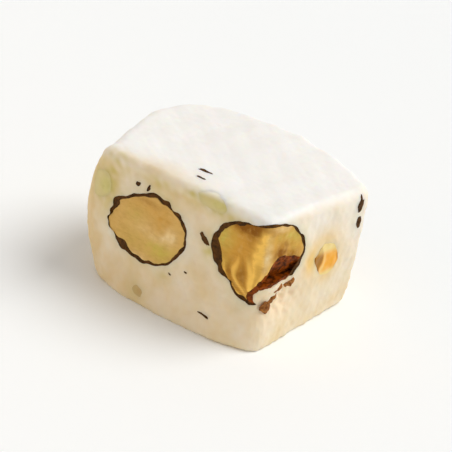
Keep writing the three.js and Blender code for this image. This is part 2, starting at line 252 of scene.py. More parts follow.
# Where the oil of nuts and peel has tinted the nougat: centre, reach and share.
STAINS = (
    ((-15.6, -12.3, 16.2), (2.6, 2.6, 3.0), 0.72),
    ((-13.0, -12.0, 19.6), (4.5, 2.0, 1.6), 0.2),
    ((-5.6, -11.8, 20.4), (4.0, 2.0, 1.3), 0.2),
    ((-14.2, -11.6, 21.4), (2.8, 1.6, 1.0), 0.35),
    ((5.6, -11.2, 20.6), (4.2, 1.6, 1.4), 0.6),
    ((1.6, -11.4, 21.0), (2.6, 1.5, 0.9), 0.4),
    ((-5.0, -11.4, 20.4), (3.0, 1.5, 0.9), 0.25),
    ((6.0, -12.4, 13.4), (1.1, 1.5, 1.5), 0.5),
    ((-0.8, -13.8, 6.2), (2.0, 1.5, 1.0), 0.22),
    ((-5.1, -14.4, 2.1), (1.8, 1.6, 1.3), 0.2),
    ((17.8, 9.3, 6.7), (1.5, 0.8, 1.2), 0.2),
    ((7.2, 15.2, 4.6), (3.4, 2.0, 2.6), 0.35),
    ((-19.6, -5.6, 15.4), (2.0, 3.4, 2.4), 0.35),
    ((3.2, 16.6, 17.6), (2.8, 2.0, 2.0), 0.35),
)
# Where peel's syrup has warmed the nougat round it: centre, reach and share.
SYRUPS = (
    ((17.8, -0.9, 12.4), (2.4, 1.6, 2.6), 0.95),
    ((17.8, 3.2, 8.8), (2.4, 1.8, 1.4), 0.4),
    ((17.8, 2.2, 15.4), (2.4, 2.6, 1.9), 0.5),
    ((17.9, 4.6, 11.2), (2.4, 2.8, 3.6), 0.33),
    ((17.3, 7.9, 2.8), (1.5, 1.2, 1.2), 0.25),
    ((7.2, 15.2, 4.6), (3.6, 2.4, 2.8), 0.4),
    ((-19.6, -5.6, 15.4), (2.4, 3.6, 2.6), 0.4),
)

# Patches of the sliced kernels: the tint, then centre, reach and share.
KERNEL_PATCHES = {
    "almond_front": (
        ("tan", (-3.3, -12.5, 14.0), (2.0, 3.0, 2.6), 0.5),
        ("tan", (-7.0, -12.4, 15.8), (3.6, 3.0, 1.3), 0.3),
        ("amber", (-7.2, -12.4, 16.6), (2.8, 3.0, 0.7), 0.3),
        ("olive", (-2.4, -13.2, 9.9), (2.6, 3.0, 1.6), 1.0),
        ("olive", (-8.6, -13.4, 9.4), (3.2, 3.0, 2.0), 0.3),
        ("olive", (-8.6, -12.5, 13.6), (2.2, 3.0, 1.6), 0.3),
        # Painted glint by the front kernel's right edge.
        ("pale", (-1.3, -12.6, 12.6), (1.2, 3.0, 1.2), 1.0),
        ("pale", (-3.6, -12.9, 11.6), (1.6, 3.0, 0.8), 0.4),
        ("pale", (-6.2, -13.0, 12.2), (2.6, 3.0, 1.2), 0.3),
        ("pale", (-6.4, -13.5, 7.4), (3.0, 3.0, 0.8), 0.45),
    ),
    "almond_corner": (
        ("tan", (11.5, -11.5, 15.0), (12.0, 12.0, 12.0), 1.3),
        ("olive", (8.6, -11.9, 17.0), (1.6, 3.0, 2.0), 0.9),
        ("olive", (9.3, -12.2, 12.9), (0.9, 3.0, 1.2), 0.5),
        ("olive", (16.8, -5.2, 18.2), (2.0, 1.8, 2.2), 0.5),
        ("olive", (16.8, -7.6, 18.8), (2.0, 3.0, 0.9), 0.5),
        ("amber", (12.9, -11.3, 20.2), (2.6, 3.0, 1.2), 2.0),
        ("amber", (11.2, -11.4, 19.4), (1.3, 3.0, 0.9), 0.7),
        ("amber", (13.6, -11.8, 14.6), (0.5, 2.0, 1.1), 0.6),
        ("amber", (12.6, -12.2, 11.4), (0.9, 3.0, 1.8), 0.4),
        ("amber", (13.4, -11.4, 18.2), (1.0, 3.0, 1.4), 0.35),
        ("amber", (10.6, -12.3, 11.9), (1.9, 3.0, 0.8), 0.6),
        ("amber", (16.9, -7.6, 17.0), (2.0, 1.5, 1.2), 0.65),
        ("amber", (16.9, -5.6, 15.2), (2.0, 1.6, 0.9), 0.7),
        ("amber", (16.7, -9.0, 16.0), (1.4, 1.3, 1.0), 0.8),
        # Painted highlight along the lit ridge where the front and right faces cut the corner kernel.
        ("bright", (15.5, -11.4, 18.9), (0.7, 1.4, 1.6), 1.1),
        ("bright", (15.0, -11.6, 15.8), (0.9, 1.6, 2.2), 1.6),
        ("bright", (15.1, -11.7, 12.8), (0.9, 1.6, 2.0), 1.6),
        ("bright", (14.6, -11.9, 10.6), (0.7, 1.6, 1.6), 1.4),
        # Painted highlight: a lit facet beside the ridge and the lit rim along the top of the right lobe.
        ("pale", (16.2, -10.9, 16.0), (0.5, 0.8, 3.2), 0.9),
        ("pale", (16.6, -8.2, 20.4), (1.8, 1.8, 0.6), 0.7),
    ),
}
PATCH_EDGES = (0.25, 1.2)   # how ragged the patches are, and over what length
PATCH_MOST = 1.5            # the most of a tint
CLOUDS = (0.45, 5.0)        # tints of the other kernels: share and length of their clouds
CLOUDS_CLEAR = 0.05         # what stays clear of them

# Tints of a kernel, in the order in which they lie over one another.
KERNEL_TINTS = ("tan", "olive", "amber", "bright", "pale")

STREAKS_FROM = (14.4, 7.2)  # where the streaks of the corner kernel run together, along X and Z
STREAKS_ROUND = 17          # in a whole turn round that place
STREAKS_START = 2.6
STREAKS_WANDER = (1.5, 4.0)             # how far they wander, and over what length
STREAKS_FRONT = (-9.6, -10.6)           # where along Y they fade in
STREAKS_IN = (0.8, 2.5)                 # distances from that place over which they fade in and out
STREAKS_OUT = (9.5, 6.0)
STREAKS_HEIGHT = 0.07

# Peel, in shares of its half sizes from its middle: limits between which each part fades in.
PITH_STRIP = (-0.36, 0.1)   # place and width of the strip of pith between flesh and rind
PITH_SHARE = 0.6            # how pale that strip is
PITH_ABOVE = (0.15, 0.6)
PITH_BELOW = (0.45, 0.85)
RIND = (0.46, 0.58)
RIND_VEIL = 0.6             # how much the pith hides of it
SIDE_WAVES = (0.12, 1.2)    # how far the edges between them wander, and over what length

# Chips: where the soaked rim fades in, off the middle by a shift, and the slab's skin over their top.
RIM = (0.3, 0.9)
RIM_SHIFT = (0.4, 0, 0)
TOASTED = {"chip_low": 0.9}             # how brown the toasted chip is
TOASTED_RIM = 0.3           # how much of the rim that one has
VEIL = (21.2, 22.2)
VEIL_SHARE = 0.8

# Grids of the surfaces: rows from pole to pole, and points round.
ALMOND_GRID = (72, 120)
HOLLOW_GRID = (72, 96)
CHIP_GRID = (28, 36)
FLAKE_GRID = (28, 40)
FOLD_GRID = (16, 24)
FLECK_GRID = (10, 14)

BLOCK_GRID = (136, 106, 76)             # cells of the block's surface along X, Y and Z
GRID_CROWDING = 0.5         # how much the block's cells crowd towards its edges, 0 for evenly
TINY = 1e-9
CRUMB_POINTS = 40           # a loose bit with fewer points is a crumb
CREASE = math.radians(40)   # an edge that turns by more stays sharp


# ------------------------------------------------------------------ sizes and colours a user may change

def linear(code):
    """An sRGB hex colour as linear red, green and blue."""
    channels = np.array([int(code[i:i + 2], 16) for i in (1, 3, 5)]) / 255
    curve = ((channels + 0.055) / 1.055) ** 2.4
    return tuple(np.where(channels <= 0.04045, channels / 12.92, curve).tolist())


def length_property(name, description, default):
    """A length in metres, given in millimetres."""
    return bpy.props.FloatProperty(
        name=name, description=description, default=default * MM, min=0, unit="LENGTH", subtype="DISTANCE")


def colour_property(name, description, code):
    """A colour, given as sRGB hex."""
    return bpy.props.FloatVectorProperty(
        name=name, description=description, default=linear(code), size=3, min=0, max=1, subtype="COLOR")


class NougatSizes(bpy.types.PropertyGroup):
    """Sizes of the piece and of its surface."""

    block_height: length_property("Slab thickness", "Height of the block", 22.0)
    edge_radius: length_property("Edge radius", "Softness of the edges of the top and the foot", 1.5)
    tooth: length_property("Tooth", "Height of the fine unevenness of the cut faces", 0.045)
    torn_depth: length_property("Torn depth", "Height of the ragged relief where nougat has torn away", 0.22)
    skin_outside: length_property("Skin outside", "How far an almond's skin reaches past its solid", 0.14)
    skin_thickness: length_property("Skin thickness", "Mean thickness of an almond's brown skin", 0.43)
    furrow_depth: length_property("Furrow depth", "Depth of the furrows along an almond's skin", 0.1)
    almond_waves: length_property("Almond waves", "Height of the slow waves of an almond's outline", 0.12)
    fit: length_property("Fit", "Hair's breadth between a nut and its bed", 0.004)


class NougatColours(bpy.types.PropertyGroup):
    """Colours of the finishes."""

    slab_skin: colour_property("Slab skin", "Pressed top of the slab", "#faf7f3")
    cut_nougat: colour_property("Cut nougat", "Faces that the knife has cut", "#e2ca9b")
    # Painted light: lightens the torn hollow under the corner almond against the hollow's own shade.
    torn_nougat_painted_light: colour_property("Torn nougat", "Bright, freshly torn nougat", "#ffe4c0")
    oil: colour_property("Oil tint", "Nougat that has taken up oil from a nut", "#c8b654")
    syrup: colour_property("Syrup tint", "Nougat that has taken up syrup from the peel", "#efc470")
    kernel: colour_property("Kernel", "Cut face of a roasted almond", "#dab165")
    kernel_amber: colour_property("Kernel, amber", "Darker, more roasted patches of the cut face", "#8c5603")
    kernel_bright: colour_property("Kernel, bright", "Oily, glowing patches of the cut face", "#ffcc60")
    # On the corner kernel a painted highlight, along its lit ridge and on the bright side of its streaks; on
    # the other kernels a random golden tone.
    kernel_tan: colour_property("Kernel, tan", "Rosy tan patches of the cut face", "#d39b3c")
    kernel_olive: colour_property("Kernel, olive", "Greener patches of the cut face", "#d0b856")
    # Mostly the kernels' own cream; on the two front kernels also a painted glint and painted highlight on
    # lit facets.
    kernel_pale: colour_property("Kernel, pale", "Creamy patches of the cut face", "#f2d49a")
    skin: colour_property("Almond skin", "Brown skin of an almond", "#633d10")
    skin_deep: colour_property("Almond skin, deep", "Furrows of the skin", "#3a2408")
    lining: colour_property("Skin lining", "Inner side of the skin, where a kernel broke out", "#9e4a06")
    lining_deep: colour_property("Skin lining, deep", "Folds of that inner side", "#461e02")
    flake: colour_property("Flake", "Loose flakes of skin", "#b87a3e")
    flake_deep: colour_property("Flake, deep", "Folds of the loose flakes", "#6a3a12")
    nut: colour_property("Pale nut", "Chips of yellow-green nut", "#d4ca84")
    nut_deep: colour_property("Pale nut, deep", "Crumb of the chips", "#c6ba6c")
    nut_toasted: colour_property("Pale nut, toasted", "Browner chips", "#c6a066")
    soaked: colour_property("Soaked rim", "Rim of a chip, soaked like the nougat round it", "#d6c68a")
    peel: colour_property("Peel", "Candied peel", "#f5ab30")
    peel_pale: colour_property("Peel, pale", "Pith side of the peel", "#f1d68c")
    peel_deep: colour_property("Peel, deep", "Rind side of the peel", "#a46c00")
    floor: colour_property("Floor", "Table top", "#fcfeff")


# ------------------------------------------------------------------ surfaces in numpy

def ripple(points, length, seed):
    """An even random field of about -1 to 1: the sum of plane waves near one length, in seeded ways."""
    draw = np.random.default_rng(seed)
    way = draw.normal(size=(RIPPLE_COUNT, 3))
    way /= np.linalg.norm(way, axis=1, keepdims=True)
    way *= 2 * np.pi / (length * draw.uniform(*RIPPLE_SPREAD, (RIPPLE_COUNT, 1)))
    start = draw.uniform(0, 2 * np.pi, RIPPLE_COUNT)
    return np.sin(points @ way.T + start).sum(axis=1) / math.sqrt(RIPPLE_COUNT)


def ripples(points, seed, *waves):
    """A sum of ripples, each given by its share and length. Their seeds count up from the one given."""
    return sum(share * ripple(points, length, seed + number) for number, (share, length) in enumerate(waves))


def smooth_step(value, low, high):
    """0 below low, 1 above high, and a smooth rise between them."""
    share = np.clip((value - low) / (high - low), 0, 1)
    return share * share * (3 - 2 * share)


def soft_spot(points, centre, reach):
    """1 at a centre, fading to 0 past its reach along X, Y and Z, as a bell curve."""
    return np.exp(-(((points - np.array(centre)) / np.array(reach)) ** 2).sum(axis=1))


def soft_spots(points, spots):
    """The sum of soft spots, each given by its centre, reach and share."""
    return sum(share * soft_spot(points, centre, reach) for centre, reach, share in spots)


def cube_grid(cells):
    """The six faces of the cube from -1 to 1, each a grid of two parameters, welded along their edges."""
    low_corners = ((0, 0), (0, 1), (1, 1), (1, 0))
    high_corners = ((0, 0), (1, 0), (1, 1), (0, 1))
    quads = []
    for axis in range(3):
        first, second = (axis + 1) % 3, (axis + 2) % 3
        i, j = np.meshgrid(np.arange(cells[first]), np.arange(cells[second]), indexing="ij")
        for side, steps in ((0, low_corners), (cells[axis], high_corners)):
            corners = np.empty((i.size, 4, 3), int)
            for corner, (step_i, step_j) in enumerate(steps):
                corners[:, corner, axis] = side
                corners[:, corner, first] = (i + step_i).ravel()
                corners[:, corner, second] = (j + step_j).ravel()
            quads.append(corners)
    lattice, index = np.unique(np.concatenate(quads).reshape(-1, 3), axis=0, return_inverse=True)
    return lattice / np.array(cells) * 2 - 1, index.reshape(-1, 4)


def ball_grid(rows, around):
    """A unit ball: one angle from pole to pole along X, one round X. Each pole is a single point."""
    tilts = np.linspace(0, np.pi, rows + 1)[1:-1]
    turns = np.linspace(0, 2 * np.pi, around, endpoint=False)
    tilt, turn = np.meshgrid(tilts, turns, indexing="ij")
    rings = np.stack([np.cos(tilt), np.sin(tilt) * np.cos(turn), np.sin(tilt) * np.sin(turn)], axis=-1)
    points = np.concatenate([[[1, 0, 0]], rings.reshape(-1, 3), [[-1, 0, 0]]])
    here = 1 + np.arange((rows - 1) * around).reshape(rows - 1, around)
    beside = np.roll(here, -1, axis=1)
    quads = np.stack([here[:-1], here[1:], beside[1:], beside[:-1]], axis=-1).reshape(-1, 4)
    tip = np.stack([np.zeros(around, int), here[0], beside[0]], axis=-1)
    tail = np.stack([here[-1], np.full(around, len(points) - 1), beside[-1]], axis=-1)
    return points, quads.tolist() + tip.tolist() + tail.tolist()


def outline_at(walk, height, block_height):
    """The plan outline at a place of the walk and a height: straight runs from point to point along the
    walk, and up each point the parabola through its foot, waist and top."""
    at = [point[0] for point in OUTLINE]
    levels = np.array([point[1:] for point in OUTLINE])
    place = np.mod(walk, 4)
    foot, waist, top = (
        np.array([np.interp(place, at, levels[:, level, axis]) for axis in (0, 1)]) for level in range(3))
    h = height / block_height
    w = WAIST_HEIGHT / block_height
    line = foot * (h - w) * (h - 1) / w + waist * h * (h - 1) / (w * (w - 1)) + top * h * (h - w) / (1 - w)
    return line.T


def soft_outline(walk, height, block_height):
    """The outline with its corners softened: the mean of it over a short walk to both sides."""
    steps = np.linspace(-1, 1, CORNER_STEPS) * CORNER_WALK
    return sum(outline_at(walk + step, height, block_height) for step in steps) / CORNER_STEPS


def walk_of(u, v):
    """Where on the walk a point on the rim of the square from -1 to 1 lies."""
    sides = [v <= TINY - 1, u >= 1 - TINY, v >= 1 - TINY]
    return np.select(sides, [(u + 1) / 2, 1 + (v + 1) / 2, 2 + (1 - u) / 2], 3 + (1 - v) / 2)


def unevenness(points):
    """The slow unevenness, from -1 to 1: sine waves along a slant, each times a cosine along another."""
    k = 2 * np.pi / RELIEF_LENGTH
    total = np.zeros(len(points))
    for share, along, start, across, other in WAVES:
        wave = share * np.sin(k * (points @ np.array(along) + start))
        total += wave * np.cos(k * (points @ np.array(across) + other))
    return total / sum(wave[0] for wave in WAVES)


def block_surface(sizes, relief):
    """The soft block, a function of the two parameters of each cube face. A section with rounded rims is
    carried round the outline, slow waves and torn hollows move it, and relief(points) lifts it along its
    normals. The foot is flat at height 0."""
    height = sizes.block_height / MM
    edge = sizes.edge_radius / MM
    cube, quads = cube_grid(BLOCK_GRID)
    u, v, w = (np.sin(cube * GRID_CROWDING * np.pi / 2) / math.sin(GRID_CROWDING * np.pi / 2)).T

    out = np.maximum(np.maximum(abs(u), abs(v)), TINY)
    half = (height + FOOT_DEPTH) / 2
    section = np.stack([out * WAIST_RADIUS, w * half])
    core = np.stack([
        np.minimum(section[0], WAIST_RADIUS - edge), np.clip(section[1], edge - half, half - edge)])
    reach = np.maximum(np.linalg.norm(section - core, axis=0), TINY)
    section = core + (section - core) * np.minimum(1, edge / reach)
    level = section[1] + half - FOOT_DEPTH
    share = section[0] / WAIST_RADIUS

    rim = soft_outline(walk_of(u / out, v / out), level, height)
    points = np.column_stack([rim * share[:, None], level])
    place = points.copy()
    swell = RELIEF_HEIGHT * unevenness(place)
    outward = rim / np.linalg.norm(rim, axis=1, keepdims=True)
    points[:, :2] += outward * (share ** SIDE_FADE * swell)[:, None]
    across = np.cos(np.pi * place[:, 0] / CROWN_WIDTH) ** 2
    crown = CROWN_HEIGHT * smooth_step(place[:, 1], *CROWN_RANGE) * across
    points[:, 2] += np.maximum(w, 0) ** SKIN_FADE * (swell + crown)
    for centre, hollow_reach, depth, push in HOLLOWS:
        far = np.linalg.norm(place - centre, axis=1) / hollow_reach
        points += np.exp(-far * far)[:, None] * depth * np.array(push) / np.linalg.norm(push)

    points += normals_of(points, quads) * relief(points)[:, None]
    points[:, 2] = np.maximum(points[:, 2], 0)
    return points, quads.tolist()


def normals_of(points, quads):
    """The unit normal at each point: the sum of its quads' normals, each the cross of its diagonals."""
    first, second, third, fourth = (points[quads[:, corner]] for corner in range(4))
    flat = np.cross(third - first, fourth - second)
    corners = quads.ravel()
    total = np.stack([np.bincount(corners, np.repeat(part, 4), len(points)) for part in flat.T], axis=-1)
    return total / np.maximum(np.linalg.norm(total, axis=1, keepdims=True), TINY)


def almond_axes(tip, across):
    """Rows that point along an almond's length, width and thickness."""
    x = np.array(tip, float) / np.linalg.norm(tip)
    z = np.cross(x, across)
    z /= np.linalg.norm(z)
    return np.stack([x, np.cross(z, x), z])


def seed_of(name):
    """A steady seed for a piece, from its name."""
    return sum(ord(letter) for letter in name)


def almond_surface(name, sizes, extra, furrows, seed):
    """An almond, a function of two angles: an ellipsoid drawn out to a blunt point, grown by extra, with
    slow waves in its outline and furrows that run from end to end and fade at both."""
    size, centre, point, tip, across = ALMONDS[name]
    unit, faces = ball_grid(*ALMOND_GRID)
    length, width, thickness = (side / 2 + extra for side in size)
    slim = 1 - point * unit[:, 0] - ALMOND_TAPER * unit[:, 0] ** 2
    local = unit * np.stack([np.full_like(slim, length), width * slim, thickness * slim], axis=-1)
    turn = np.arctan2(unit[:, 2], unit[:, 1])
    fade = 1 - unit[:, 0] ** 2
    grooves = np.cos(FURROWS * turn + ripples(unit, seed, FURROW_WANDER)) * fade
    grooves += ripples(unit, seed + 1, FURROW_BREAKS)
    waves = ripples(local, seed_of(name) + WAVES_SEED, *ALMOND_WAVES)
    local += unit * (furrows * grooves + sizes.almond_waves / MM * waves)[:, None]
    points = local @ almond_axes(tip, across) + centre
    for knob, reach, push in KNOBS.get(name, ()):
        points += np.exp(-((points - knob) ** 2).sum(axis=1) / reach ** 2)[:, None] * push
    return points, faces


def almond_distance(name, points):
    """About how far points lie outside an almond's surface, in millimetres."""
    size, centre, point, tip, across = ALMONDS[name]
    local = (points - centre) @ almond_axes(tip, across).T / (np.array(size) / 2)
    x = np.clip(local[:, 0], -1, 1)
    slim = 1 - point * x - ALMOND_TAPER * x ** 2
    far = np.sqrt(local[:, 0] ** 2 + (local[:, 1] ** 2 + local[:, 2] ** 2) / slim ** 2)
    return (far - 1) * min(size) / 2


def turned(points, turn):
    """Points turned about X, Y and Z, in the order X Y Z of their own axes."""
    x, y, z = (Matrix.Rotation(angle, 3, axis) for angle, axis in zip(turn, "XYZ"))
    return points @ np.array(x @ y @ z).T


def lump_surface(shape, extra, knobs, seed, grid=CHIP_GRID):
    """A lump, a function of two angles: an ellipsoid with corners pulled out a little, with low knobs,
    grown by extra."""
    centre, half, turn = shape
    unit, faces = ball_grid(*grid)
    square = unit / np.linalg.norm(unit, ord=SQUARENESS, axis=1, keepdims=True)
    body = LUMP_ROUND * unit + LUMP_SQUARE * square
    knob = 1 + knobs * ripples(unit, seed, *LUMP_WAVES)
    return turned(body * knob[:, None] * (np.array(half) + extra), turn) + centre, faces


def squared_egg(shape, extra, rough, seed):
    """A squared egg, a function of two angles: the unit ball divided by the 4-norm of each of its points,
    times the half sizes grown by extra, with a rough surface."""
    centre, half, turn = shape
    unit, faces = ball_grid(*HOLLOW_GRID)
    square = unit / np.linalg.norm(unit, ord=SQUARENESS, axis=1, keepdims=True)
    local = square * (np.array(half) + extra)
    local += unit * (rough * ripples(local, seed, *HOLLOW_WAVES))[:, None]
    return turned(local, turn) + centre, faces


def flake_surface(shape, seed):
    """A flake of skin, a function of two angles: a flat lens with a ragged rim, curled along its width."""
    centre, half, turn = shape
    unit, faces = ball_grid(*FLAKE_GRID)
    rim = 1 + ripples(unit, seed, FLAKE_RIM)
    thin, long = int(np.argmin(half)), int(np.argmax(half))
    side = 3 - thin - long
    local = unit * rim[:, None] * np.array(half)
    local[:, thin] *= FLAKE_FLATNESS
    curl = half[thin] * FLAKE_CURL * (0.5 - unit[:, side] ** 2)
    local[:, thin] += curl + ripples(local, seed + 1, FLAKE_CRINKLES)
    return turned(local, turn) + centre, faces


# ------------------------------------------------------------------ meshes

def put(name, surface):
    """Makes an object from a surface in the block's millimetres."""
    points, faces = surface
    mesh = bpy.data.meshes.new(name)
    mesh.from_pydata(((points + BLOCK_PLACE) * MM).tolist(), [], faces)
    piece = bpy.data.objects.new(name, mesh)
    bpy.context.scene.collection.objects.link(piece)
    return piece


def joined(surfaces):
    """Several surfaces as one."""
    points, faces, count = [], [], 0
    for more_points, more_faces in surfaces:
        points.append(more_points)
        faces += [[corner + count for corner in face] for face in more_faces]
        count += len(more_points)
    return np.concatenate(points), faces


def carve(piece, operation, tool):
    """Crosses a piece with a closed surface or a made one, or cuts that out of it, and uses the tool up."""
    if isinstance(tool, tuple):
        tool = put("tool", tool)
    change = piece.modifiers.new("carve", "BOOLEAN")
    change.operation = operation
    change.solver = "MANIFOLD"
    change.object = tool
    whole = piece.evaluated_get(bpy.context.evaluated_depsgraph_get())
    made = bpy.data.meshes.new_from_object(whole)
    piece.modifiers.clear()
    old = piece.data
    name = old.name
    piece.data = made
    bpy.data.meshes.remove(old)
    made.name = name
    tool_mesh = tool.data
    bpy.data.objects.remove(tool)
    bpy.data.meshes.remove(tool_mesh)
    if not made.polygons:
        raise RuntimeError(f"nothing is left of {piece.name}")


def drop_crumbs(mesh):
    """Deletes the crumbs that carving leaves loose. Each point takes the lowest number among itself and its
    neighbours until nothing changes, so every loose bit ends up with one number."""
    ends = np.empty(len(mesh.edges) * 2, np.int32)
    mesh.edges.foreach_get("vertices", ends)
    ends = ends.reshape(-1, 2)
    number = np.arange(len(mesh.vertices))
    changed = True
    while changed:
        lower = number.copy()
        lowest = number[ends].min(axis=1)
        np.minimum.at(lower, ends[:, 0], lowest)
        np.minimum.at(lower, ends[:, 1], lowest)
        lower = lower[lower]
        changed = not np.array_equal(lower, number)
        number = lower
    crumbs = np.flatnonzero(np.bincount(number)[number] < CRUMB_POINTS)
    if len(crumbs):
        made = bmesh.new()
        made.from_mesh(mesh)
        made.verts.ensure_lookup_table()
        bmesh.ops.delete(made, geom=[made.verts[index] for index in crumbs], context="VERTS")
        made.to_mesh(mesh)
        made.free()


def block_points(piece):
    """A piece's points in the block's millimetres."""
    count = len(piece.data.vertices)
    flat = np.empty(count * 3, np.float32)
    piece.data.vertices.foreach_get("co", flat)
    return flat.reshape(count, 3).astype(float) / MM - BLOCK_PLACE


def paint(piece, **shares):
    """Keeps one number by name for each point, which the piece's material reads."""
    for name, values in shares.items():
        layer = piece.data.attributes.new(name, "FLOAT", "POINT")
        layer.data.foreach_set("value", np.asarray(values, np.float32))


def finish_piece(piece, material, slot, *nodes):
    """Gives a piece its material, smooth faces with sharp creases, its body and its nodes. The slot is not
    used.
    """
    mesh = piece.data
    drop_crumbs(mesh)
    mesh.materials.clear()
    mesh.materials.append(material)
    mesh.polygons.foreach_set("material_index", np.zeros(len(mesh.polygons), np.int32))
    mesh.shade_smooth()
    mesh.set_sharp_from_angle(angle=CREASE)
    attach(piece, "root")
    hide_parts(*nodes)


# ------------------------------------------------------------------ materials

def add(tree, kind, sockets=None, **settings):
    """Adds a node with its settings and links. An input that is given an output is linked to it, one that
    is given a node is linked to that node's first output, and any other value is the input's own."""
    node = tree.nodes.new("ShaderNode" + kind)
    for key, value in settings.items():
        setattr(node, key, value)
    for key, value in (sockets or {}).items():
        if isinstance(value, bpy.types.Node):
            value = value.outputs[0]
        if isinstance(value, bpy.types.NodeSocket):
            tree.links.new(value, node.inputs[key])
        else:
            node.inputs[key].default_value = value
    return node


def blank(name, *painted):
    """A new material, its empty node tree, the place in the block, and the values painted on the piece."""
    material = bpy.data.materials.new(name)
    material.use_nodes = True
    tree = material.node_tree
    tree.nodes.clear()
    place = add(tree, "TexCoord").outputs["Object"]
    shares = [add(tree, "Attribute", attribute_name=each).outputs["Fac"] for each in painted]
    return material, tree, place, *shares


def lumps(place, size, detail=3, roughness=0.55):
    """What gives a noise its lumps of a size in millimetres."""
    return {"Vector": place, "Scale": 1 / (size * MM), "Detail": detail, "Roughness": roughness}


def limits(value, low, high, bottom=0.0, top=1.0):
    """What takes a value between two limits to a number from bottom to top."""
    return {"Value": value, "From Min": low, "From Max": high, "To Min": bottom, "To Max": top}


def rgba(colour):
    """A colour with full alpha."""
    return (*colour, 1.0)


# Sockets of a node that mixes colours. Others have the same names, so these go by number.
MIX_SHARE, MIX_UNDER, MIX_OVER, MIX_RESULT = 0, 6, 7, 2


def tinted(tree, colour, *layers):
    """A colour with others laid over it in order, each by its own share."""
    colour = rgba(colour)
    for share, tint in layers:
        sockets = {MIX_SHARE: share, MIX_UNDER: colour, MIX_OVER: rgba(tint)}
        colour = add(tree, "Mix", sockets, data_type="RGBA").outputs[MIX_RESULT]
    return colour


def finished(material, height, strength, depth, sockets):
    """The material with a relief of a depth in millimetres and a shader with the sockets given."""
    tree = material.node_tree
    bump = add(tree, "Bump", {"Height": height, "Strength": strength, "Distance": depth * MM})
    add(tree, "OutputMaterial", {"Surface": add(tree, "BsdfPrincipled", {**sockets, "Normal": bump})})
    return material


def whipped_nougat(colours):
    """Whipped egg white and honey, pressed into a slab and cut with a knife: chalky where it was pressed,
    creamier on the cut, tinted by oil beside nuts and by syrup beside peel, and it lets light a little way
    in. Painted light lightens the torn hollow under the corner almond and whitens the right face, which faces
    the light."""
    material, tree, place, cut, torn, syrup, oil = blank(
        "whipped nougat, pressed and cut", "cut", "torn", "syrup", "oil")
    cloud = add(tree, "MapRange", limits(add(tree, "TexNoise", lumps(place, 7.0)), 0.35, 0.7, 1.0, 0.55))
    crumb = add(tree, "TexNoise", lumps(place, 0.5, detail=4, roughness=0.6))
    pores = add(tree, "TexNoise", lumps(place, 1.6, detail=2))
    wear = add(tree, "TexNoise", lumps(place, 2.2))
    colour = tinted(
        tree, colours.slab_skin,
        (add(tree, "Math", {0: cut, 1: cloud}, operation="MULTIPLY"), colours.cut_nougat),
        (syrup, colours.syrup),
        (oil, colours.oil),
        # Painted light over the torn hollow.
        (add(tree, "Math", {0: torn, 1: 0.9}, operation="MULTIPLY"), colours.torn_nougat_painted_light))
    return finished(material, add(tree, "Math", {0: crumb, 1: pores}, operation="ADD"), 0.35, 0.06, {
        "Base Color": colour, "Roughness": add(tree, "MapRange", limits(wear, 0.3, 0.7, 0.5, 0.66)),
        "IOR": 1.45, "Specular IOR Level": 0.35, "Subsurface Weight": 0.35,
        "Subsurface Radius": (1.6, 1.1, 0.7), "Subsurface Scale": MM})


def almond_kernel(colours):
    """Roasted almond, sliced by the knife: golden, patched with tan, olive, amber and cream, with painted
    highlight along the corner kernel's lit ridge and on lit facets, a painted glint on the front kernel,
    painted highlight and shade along the corner kernel's fracture lines, short strands that the blade
    smeared, a fine crumb, and a satin sheen from its oil."""
    material, tree, place, streaks, *shares = blank("roasted almond kernel, sliced", "streaks", *KERNEL_TINTS)
    smeared = add(tree, "Mapping", {"Vector": place, "Rotation": (0.3, 0.5, 0.2), "Scale": (0.35, 0.35, 1.0)})
    strands = add(tree, "TexNoise", lumps(smeared, 0.55, detail=5, roughness=0.62))
    grain = add(tree, "TexNoise", lumps(place, 0.7, detail=5, roughness=0.65))
    crumb = add(tree, "TexNoise", lumps(place, 0.32, detail=4))
    edges = add(tree, "TexNoise", lumps(place, 0.9, detail=4))
    ragged = add(tree, "MapRange", limits(edges, 0.3, 0.7, 0.55, 1.25))
    patches = [
        (add(tree, "Math", {0: ragged, 1: share}, operation="MULTIPLY", use_clamp=True),
         getattr(colours, "kernel_" + tint))
        for tint, share in zip(KERNEL_TINTS, shares)]
    colour = tinted(
        tree, colours.kernel, *patches,
        (add(tree, "MapRange", limits(strands, 0.45, 0.75, 0.0, 0.22)), colours.kernel_amber),
        # Painted highlight and painted shade along the corner kernel's fracture lines, which also have a low
        # relief.
        (add(tree, "MapRange", limits(streaks, 0.15, 0.9, 0.0, 0.75)), colours.kernel_bright),
        (add(tree, "MapRange", limits(streaks, -0.15, -0.9, 0.0, 0.35)), colours.kernel_amber),
        (add(tree, "MapRange", limits(crumb, 0.58, 0.76, 0.0, 0.08)), colours.kernel_pale))
    return finished(material, add(tree, "Math", {0: strands, 1: grain}, operation="ADD"), 0.45, 0.12, {
        "Base Color": colour, "Roughness": add(tree, "MapRange", limits(strands, 0.3, 0.7, 0.34, 0.52)),
        "IOR": 1.47, "Specular IOR Level": 0.14})


def almond_skin(name, ridge, fold):
    """Dry almond skin: brown, furrowed, darker in its folds, a dull shine on its ridges."""
    material, tree, place = blank(name)
    folds = add(tree, "TexNoise", lumps(place, 0.8, detail=5, roughness=0.65))
    colour = tinted(tree, fold, (add(tree, "MapRange", limits(folds, 0.38, 0.66)), ridge))
    return finished(material, folds, 0.7, 0.15, {
        "Base Color": colour, "Roughness": add(tree, "MapRange", limits(folds, 0.3, 0.7, 0.62, 0.42)),
        "IOR": 1.45, "Specular IOR Level": 0.12})


